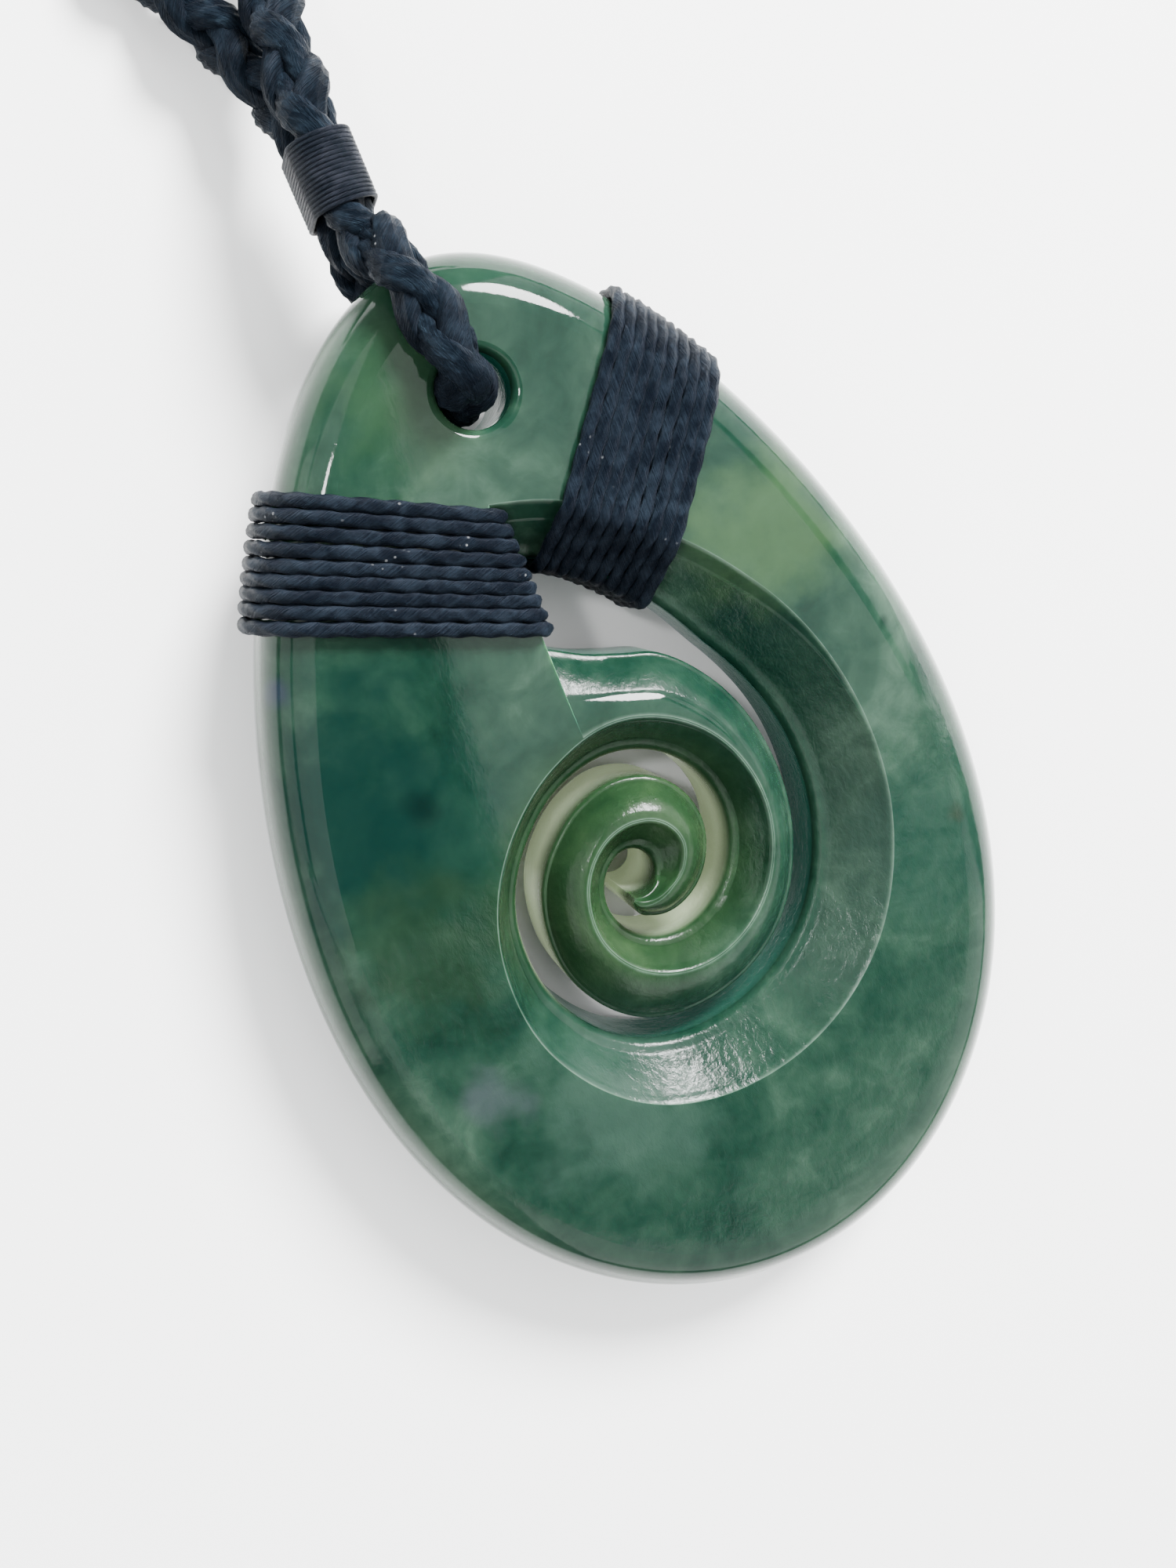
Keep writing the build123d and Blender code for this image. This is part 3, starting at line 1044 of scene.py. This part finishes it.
jade, jade_tree, jade_shader = new_material("jade")
jade_object_place = add_node(jade_tree, "TexCoord", {}).outputs["Object"]
jade_place = scaled(jade_tree, vector_maths(jade_tree, "SUBTRACT", jade_object_place, stone_origin), 1 / MM)
mottle = noise(jade_tree, jade_place, scale=0.085, detail=6, roughness=0.58, distortion=1.1)
fine_mottle = noise(jade_tree, jade_place, scale=0.42, detail=4, roughness=0.6, distortion=0.6)
broad_part = times(jade_tree, mottle, broad_share)
mottle_mix = plus(jade_tree, broad_part, times(jade_tree, fine_mottle, 1 - broad_share))
jade_colour = ramp(jade_tree, mottle_mix, jade_stops)
print("ground colour of the jade:", len(jade_tree.nodes), "nodes")

# %% [markdown]
# The real stone has a few clouds and dark flecks that one remembers, and noise can't put them in their
# places. So each is a small table row: where it lies, how large and how strong it is, and its colour. Three
# of the broad clouds are partly painted reflection: two dark ones, on the left arm and at the lower right,
# paint a dark reflection, and the pale one at the upper right paints the reflection of bright light. A noise
# moves the place a little, which makes the edge of the cloud ragged.

# %% Clouds, flecks and painted reflections
jade_marks = [
    # across, along and radius in millimetres, strength, colour
    (-17.0, 7.0, 8.5, 0.80, (0.0002, 0.010, 0.0080)),
    (-14.5, -3.0, 6.0, 0.45, (0.0060, 0.014, 0.0050)),
    (-8.0, -18.0, 6.5, 0.55, (0.0250, 0.052, 0.0380)),
    (-15.2, -13.8, 2.4, 0.60, (0.0300, 0.038, 0.0430)),
    (9.7, 6.5, 3.2, 0.65, (0.0004, 0.012, 0.0080)),
    # partly painted reflection: a pale cloud where the face mirrors bright light
    (13.5, 12.0, 5.5, 0.55, (0.0300, 0.065, 0.0250)),
    (-4.0, 27.0, 5.0, 0.45, (0.0200, 0.048, 0.0200)),
    # partly painted reflection: a dark cloud on the left arm where the face mirrors darkness
    (-8.5, 1.0, 5.5, 0.50, (0.0010, 0.014, 0.0095)),
    # partly painted reflection: a dark cloud at the lower right where the face mirrors darkness
    (16.5, -11.0, 6.0, 0.50, (0.0014, 0.016, 0.0110)),
    (-17.6, 14.6, 1.2, 0.80, (0.0100, 0.013, 0.0300)),
    (-12.4, 4.9, 1.3, 0.70, (0.0002, 0.005, 0.0040)),
    (-10.4, -27.7, 1.6, 0.80, (0.0006, 0.007, 0.0100)),
    (-9.4, -12.3, 0.8, 0.90, (0.0004, 0.006, 0.0070)),
    (3.8, -3.2, 0.7, 0.90, (0.0006, 0.007, 0.0030)),
    (6.9, -25.5, 0.7, 0.80, (0.0006, 0.007, 0.0040)),
    (18.9, 3.4, 0.5, 0.80, (0.0010, 0.010, 0.0060)),
    (19.2, -10.1, 0.9, 0.60, (0.0100, 0.012, 0.0060)),
]
ragged_reach = 1.6
cloud_edge = 1.25
cloud_heart = 0.35

ragged_noise = add_node(jade_tree, "TexNoise", {"Vector": jade_place, "Scale": 0.35, "Detail": 4})
ragged = vector_maths(jade_tree, "SUBTRACT", ragged_noise.outputs["Color"], (0.5, 0.5, 0.5))
for across, along, radius, strength, tint in jade_marks:
    moved = vector_maths(jade_tree, "ADD", jade_place, scaled(jade_tree, ragged, ragged_reach * radius))
    off = vector_maths(jade_tree, "DISTANCE", moved, (across, along, stone_thickness))
    share = times(jade_tree, between(jade_tree, off, cloud_edge * radius, cloud_heart * radius), strength)
    jade_colour = mixed(jade_tree, share, jade_colour, tint)
print("clouds and flecks:", len(jade_marks))

# %% [markdown]
# A carved coil lets more light through than the broad rim, so it looks clearer and yellower. A second ramp of
# the same mottling is mixed in near the koru's centre. The rim is a little paler all round.
# Where it lies is worked out with the egg's own formula: `outward` is 0 in the middle and 1 on the outline.

# %% Coil and rim
coil_stops = [
    (0.32, (0.0046, 0.017, 0.0060)),
    (0.50, (0.0100, 0.027, 0.0092)),
    (0.70, (0.0240, 0.048, 0.0180)),
]
coil_height = 5
coil_range = (13.5, 8.5)
coil_raggedness = 5
coil_strength = 0.85
rim_tint = (0.040, 0.078, 0.045)
rim_range = (0.96, 1.06)
rim_raggedness = 0.10
rim_strength = 0.35

from_koru = vector_maths(jade_tree, "DISTANCE", jade_place, (*koru_centre, coil_height))
ragged_distance = plus(jade_tree, from_koru, times(jade_tree, mottle, coil_raggedness))
coil_share = between(jade_tree, ragged_distance, *coil_range)
coil_colour = ramp(jade_tree, mottle_mix, coil_stops)
jade_colour = mixed(jade_tree, times(jade_tree, coil_share, coil_strength), jade_colour, coil_colour)

jade_parts = add_node(jade_tree, "SeparateXYZ", {"Vector": jade_place}).outputs
share_along = maths(jade_tree, "DIVIDE", jade_parts["Y"], stone_length / 2)
taper_here = plus(jade_tree, times(jade_tree, share_along, egg_pinch), egg_taper)
width_share = maths(jade_tree, "SUBTRACT", 1.0, times(jade_tree, share_along, taper_here))
half_width = times(jade_tree, width_share, stone_middle_width / 2)
share_across = maths(jade_tree, "DIVIDE", jade_parts["X"], half_width)
egg_place = add_node(jade_tree, "CombineXYZ", {"X": share_across, "Y": share_along}).outputs[0]
outward = vector_maths(jade_tree, "LENGTH", egg_place)
ragged_outward = plus(jade_tree, outward, times(jade_tree, mottle, rim_raggedness))
rim_share = between(jade_tree, ragged_outward, *rim_range)
jade_colour = mixed(jade_tree, times(jade_tree, rim_share, rim_strength), jade_colour, rim_tint)
print("coil and rim:", len(jade_tree.nodes), "nodes")

# %% [markdown]
# Light that has gone through the stone comes out of the slot's walls. Near the eye they are pale and almost
# shine, and further out they are teal. True light through such thin walls would need a very slow render, so
# that light is painted on: the walls get a painted light tint, which also lifts them out of their shade, and
# a faint painted glow. The stone's `wall` attribute says where they are.

# %% Painted light on the slot's walls
wall_painted_light = (0.0140, 0.055, 0.038)
wall_painted_glow = (0.0010, 0.022, 0.016)
wall_strength = 0.8
wall_range = (8.5, 10.5)
deep_painted_light = (0.300, 0.360, 0.240)
deep_painted_glow = (0.150, 0.180, 0.105)
deep_strength = 0.85
deep_height_range = (6.5, 3.0)
deep_range = (10.5, 8.0)
upright_range = (0.3, 0.8)
steep_range = (0.75, 0.97)
inside_range = (0.95, 0.90)

wall_share = mark(jade_tree, "wall")
upright = between(jade_tree, wall_share, *upright_range)
steep = between(jade_tree, wall_share, *steep_range)
inside = times(jade_tree, steep, between(jade_tree, outward, *inside_range))
outer_wall = times(jade_tree, inside, between(jade_tree, from_koru, *wall_range))
# painted light: a lit teal tint on the slot's outer walls, which would otherwise lie in shade
jade_colour = mixed(jade_tree, times(jade_tree, outer_wall, wall_strength), jade_colour, wall_painted_light)
low_down = between(jade_tree, jade_parts["Z"], *deep_height_range)
deep = times(jade_tree, low_down, between(jade_tree, from_koru, *deep_range))
deep_wall = times(jade_tree, times(jade_tree, upright, deep), deep_strength)
# painted light: a pale tint on the deep walls near the eye
jade_colour = mixed(jade_tree, deep_wall, jade_colour, deep_painted_light)
# painted glow: the walls' emission stands in for light coming through the stone
jade_painted_glow = mixed(jade_tree, outer_wall, (0, 0, 0), wall_painted_glow)
jade_painted_glow = mixed(jade_tree, deep_wall, jade_painted_glow, deep_painted_glow)
print("walls:", len(jade_tree.nodes), "nodes")

# %% [markdown]
# The crest between the flat face and the flute catches the light in a fine pale line, which is painted on as
# a painted highlight. The marked row of the stone's mesh gives its place, and the fine mottling makes it
# uneven.

# %% Painted highlight on the crest
crest_painted_highlight = (0.085, 0.140, 0.105)
crest_narrow = 2.0

crest_highlight_share = maths(jade_tree, "POWER", mark(jade_tree, "crest"), crest_narrow)
# painted highlight: a pale line along the crest's row
jade_colour = mixed(jade_tree, times(jade_tree, crest_highlight_share, fine_mottle), jade_colour, crest_painted_highlight)
print("crest line:", len(jade_tree.nodes), "nodes")

# %% [markdown]
# The face is polished, but not quite flat: it bends a little towards the rim, and fine and broad unevenness
# ripple its reflections. In the carved parts, which are hard to polish, both are stronger, so that a lamp's
# reflection breaks into glitter there.

# %% Polish of the jade
dome_power = 4.0
dome_distance = 0.9 * MM
peel_distance = 0.12 * MM
peel_stretch = (1.0, 0.55, 1.0)
below_face_range = (stone_thickness - 0.01, stone_thickness - 0.2)
carved_range = (0.93, 0.88)
fine_on_face, fine_when_carved = 0.035, 0.36
broad_on_face, broad_when_carved = 0.12, 0.8
dull_when_carved = 0.13

pillow = times(jade_tree, maths(jade_tree, "POWER", outward, dome_power), -1.0)
dome = bumped(jade_tree, pillow, dome_distance)
below_face = between(jade_tree, jade_parts["Z"], *below_face_range)
carved = times(jade_tree, below_face, between(jade_tree, outward, *carved_range))
stretched = vector_maths(jade_tree, "MULTIPLY", jade_place, peel_stretch)
fine_noise = noise(jade_tree, stretched, scale=2.2, detail=4, roughness=0.65, distortion=0.4)
fine_height = plus(jade_tree, times(jade_tree, carved, fine_when_carved), fine_on_face)
fine_peel = times(jade_tree, fine_noise, fine_height)
broad_noise = noise(jade_tree, stretched, scale=0.34, detail=2)
broad_height = plus(jade_tree, times(jade_tree, carved, broad_when_carved), broad_on_face)
broad_peel = times(jade_tree, broad_noise, broad_height)
polish = bumped(jade_tree, plus(jade_tree, broad_peel, fine_peel), peel_distance, Normal=dome)
dull = add_node(jade_tree, "MapRange", {
    "Value": fine_mottle, "From Min": 0.4, "From Max": 0.75, "To Min": 0.03, "To Max": 0.08,
}).outputs["Result"]
dull = plus(jade_tree, dull, times(jade_tree, carved, dull_when_carved))
print("polish:", len(jade_tree.nodes), "nodes")

# %% [markdown]
# At last all of it is joined to the main shader. Light goes a little way into jade and comes out beside where
# it went in, so the shader has some subsurface scattering. Values that are the same all over are set on the
# shader itself.

# %% Finished jade
jade_scatter = 2.4 * MM

join(jade_tree, jade_shader, {
    "Base Color": jade_colour, "Roughness": dull, "IOR": 1.45, "Normal": polish,
    "Specular IOR Level": 0.20, "Emission Color": jade_painted_glow, "Emission Strength": 1.0,
    "Subsurface Weight": 0.4, "Subsurface Radius": (0.7, 1.0, 0.6), "Subsurface Scale": jade_scatter,
})
stone_mesh.materials.append(jade)
print("jade:", len(jade_tree.nodes), "nodes in all")

# %% [markdown]
# The cords are black and waxed. Fine fibres run along each thread and twist round it. Their noise is read on
# a circle that is made from the thread's own texture coordinates, so that it has no seam.

# %% Fibres of the cords
fibre_stretch = 0.22
fibre_circle = 6


def fibre_pattern(tree, fibres, twist):
    """Fibres along a thread, counted round it; twist is how many turns they make in a centimetre."""
    texture_place = add_node(tree, "UVMap", {}).outputs["UV"]
    parts = add_node(tree, "SeparateXYZ", {"Vector": texture_place}).outputs
    length = times(tree, parts["Y"], 1 / MM)
    wound = plus(tree, parts["X"], times(tree, length, twist / 10))
    circle = times(tree, wound, 2 * pi)
    ring = add_node(tree, "CombineXYZ", {
        "X": times(tree, maths(tree, "COSINE", circle), fibres / fibre_circle),
        "Y": times(tree, maths(tree, "SINE", circle), fibres / fibre_circle),
        "Z": times(tree, length, fibre_stretch),
    }).outputs[0]
    return noise(tree, ring, scale=2.2, detail=4, roughness=0.65, distortion=0.3)


# %% [markdown]
# The wax is grey in places from rubbing, and that grey also serves as painted sheen on the black cord. A
# little pale dust lies in patches. One function makes all three cord materials, which differ in their
# colours, the size of their fibres, their shine and their dust.

# %% Finish of the cords
dust_tint = (0.30, 0.31, 0.32)
wear_and_sheen_noise_share = 0.6
wear_and_sheen_range = (0.42, 0.66)
grain_scale = 1900.0
grain_range = (0.22, 0.10)
dust_range = (0.66, 0.74)
fibre_depth = 0.55 * MM
wax_tint = (0.42, 0.72, 1.0, 1)
sheen_tint = (0.55, 0.62, 0.8, 1)


def cord_material(name, dark, worn_and_sheen, fibres, twist, shine, dust):
    """A waxed cord, with its dark colour and its grey colour, which shows rubbing of the wax and painted
    sheen.
    """
    material, tree, shader = new_material(name)
    fibre = fibre_pattern(tree, fibres, twist)
    place = add_node(tree, "TexCoord", {}).outputs["Object"]
    wear_and_sheen_noise = noise(tree, place, scale=700, detail=5, roughness=0.6, distortion=0.4)
    wear_and_sheen_noise = plus(tree, times(tree, wear_and_sheen_noise, wear_and_sheen_noise_share), times(tree, fibre, 1 - wear_and_sheen_noise_share))
    wear_and_sheen = between(tree, wear_and_sheen_noise, *wear_and_sheen_range)
    grains = add_node(tree, "TexVoronoi", {"Vector": place, "Scale": grain_scale, "Randomness": 1.0})
    patches = between(tree, noise(tree, place, scale=420, detail=3), dust_range[0] - dust, dust_range[1])
    fleck = times(tree, between(tree, grains.outputs["Distance"], *grain_range), patches)
    # painted sheen: the grey for rubbing of the wax also stands in for the cords' sheen
    colour = mixed(tree, fleck, mixed(tree, wear_and_sheen, dark, worn_and_sheen), dust_tint)
    join(tree, shader, {
        "Base Color": colour, "Roughness": 0.36, "Normal": bumped(tree, fibre, fibre_depth),
        "Specular IOR Level": shine, "Specular Tint": wax_tint,
        "Sheen Weight": 0.03, "Sheen Roughness": 0.4, "Sheen Tint": sheen_tint,
    })
    print(name, "has", len(tree.nodes), "nodes")
    return material


plait_black = cord_material(
    "braided_cord", dark=(0.0008, 0.0020, 0.0042), worn_and_sheen=(0.010, 0.016, 0.024),
    fibres=26, twist=0.8, shine=0.035, dust=0.0,
)
bound_black = cord_material(
    "binding_cord", dark=(0.0008, 0.0018, 0.0045), worn_and_sheen=(0.013, 0.019, 0.028),
    fibres=14, twist=3.0, shine=0.050, dust=0.05,
)
fine_black = cord_material(
    "whipping_thread", dark=(0.003, 0.004, 0.007), worn_and_sheen=(0.026, 0.027, 0.036),
    fibres=10, twist=2.0, shine=0.060, dust=0.0,
)

# %% [markdown]
# Each piece gets its finish. The frame's own solids are hidden, because these pieces stand for them, but they
# get the same finish, so that nothing is left with a plain one.

# %% Give the pieces their finish
for pieces, material in (
    (strands, plait_black),
    ((left_cord, right_cord), bound_black),
    ((front_thread, nape_thread), fine_black),
):
    for piece in pieces:
        piece.data.materials.append(material)
for node, material in (
    ("neck_braid", plait_black), ("left_binding", bound_black), ("right_binding", bound_black),
    ("front_whipping", fine_black), ("nape_whipping", fine_black), ("koru_stone", jade),
):
    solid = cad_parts[node]
    solid.data.materials.clear()
    solid.data.materials.append(material)
    print(node, "is finished with", material.name)

# %% [markdown]
# The floor is a plain pale sheet, four metres wide. It is matt, so that it shows soft shadows and no lamps.
# It belongs to the stage and not to the object.

# %% Floor
floor_size = 2.0
floor_colour = (0.92, 0.925, 0.92, 1)

floor_bm = bmesh.new()
bmesh.ops.create_grid(floor_bm, x_segments=1, y_segments=1, size=floor_size)
floor_mesh = bpy.data.meshes.new("floor")
floor_bm.to_mesh(floor_mesh)
floor_bm.free()
floor = bpy.data.objects.new("floor", floor_mesh)
bpy.context.scene.collection.objects.link(floor)
paper, paper_tree, paper_shader = new_material("pale_floor")
join(paper_tree, paper_shader, {"Base Color": floor_colour, "Roughness": 0.7, "Specular IOR Level": 0.3})
floor_mesh.materials.append(paper)
print("floor is", tuple(round(side, 2) for side in floor.dimensions), "metres")

# %% [markdown]
# A polished stone mirrors what stands round it, so each light is placed for the image it leaves on the stone.
# Two wide panels hang level above it. The line between bright and dark on its left arm is the border of one.
# Three panels at the right, the near and the left side light the rounded rim. A round lamp makes the glitter
# in the flute, and a small one the sharp highlights.

# %% Lights
def add_panel(name, place, size_across, size_along, brightness, aimed=True):
    """A panel of even light, in metres, as bright as its surface; it faces the stone or the floor."""
    light = bpy.data.lights.new(name, "AREA")
    light.shape = "RECTANGLE"
    light.size = size_across
    light.size_y = size_along
    light.energy = brightness * pi * size_across * size_along
    panel = bpy.data.objects.new(name, light)
    bpy.context.scene.collection.objects.link(panel)
    panel.location = place
    if aimed:
        panel.rotation_euler = (Vector(place) - stone_origin).to_track_quat("Z", "Y").to_euler()
    print(name, "gives", round(light.energy, 2), "watts")
    return panel


small_lamp_place = stone_origin + Vector((-0.36, 0.32, 0.87)) * 0.6
add_panel("window_panel", (0.245, 0.06, 0.50), 0.41, 0.84, brightness=3.2, aimed=False)
add_panel("fill_panel", (-0.42, -0.04, 0.50), 0.52, 1.04, brightness=2.4, aimed=False)
add_panel("right_panel", (0.80, 0.10, 0.35), 1.2, 0.62, brightness=4)
add_panel("near_panel", (0.20, -0.80, 0.34), 1.4, 0.54, brightness=2.6)
add_panel("left_panel", (-0.85, 0.0, 0.30), 1.2, 0.35, brightness=2.5)
key_lamp = add_panel("key_lamp", (0.34, 0.22, 0.42), 0.24, 0.24, brightness=135)
key_lamp.data.shape = "DISK"
add_panel("small_lamp", small_lamp_place, 0.05, 0.05, brightness=130)

# %% [markdown]
# Where no lamp stands, the stone mirrors the empty studio. So the world is a soft, slightly cool white, which
# also lights the shadows from all sides.

# %% World
world_colour = (0.94, 0.97, 1.0, 1)
world_strength = 0.52

world = bpy.data.worlds.new("studio")
bpy.context.scene.world = world
world.use_nodes = True
background = world.node_tree.nodes["Background"]
background.inputs["Color"].default_value = world_colour
background.inputs["Strength"].default_value = world_strength
print("world:", world.name, "with a strength of", world_strength)
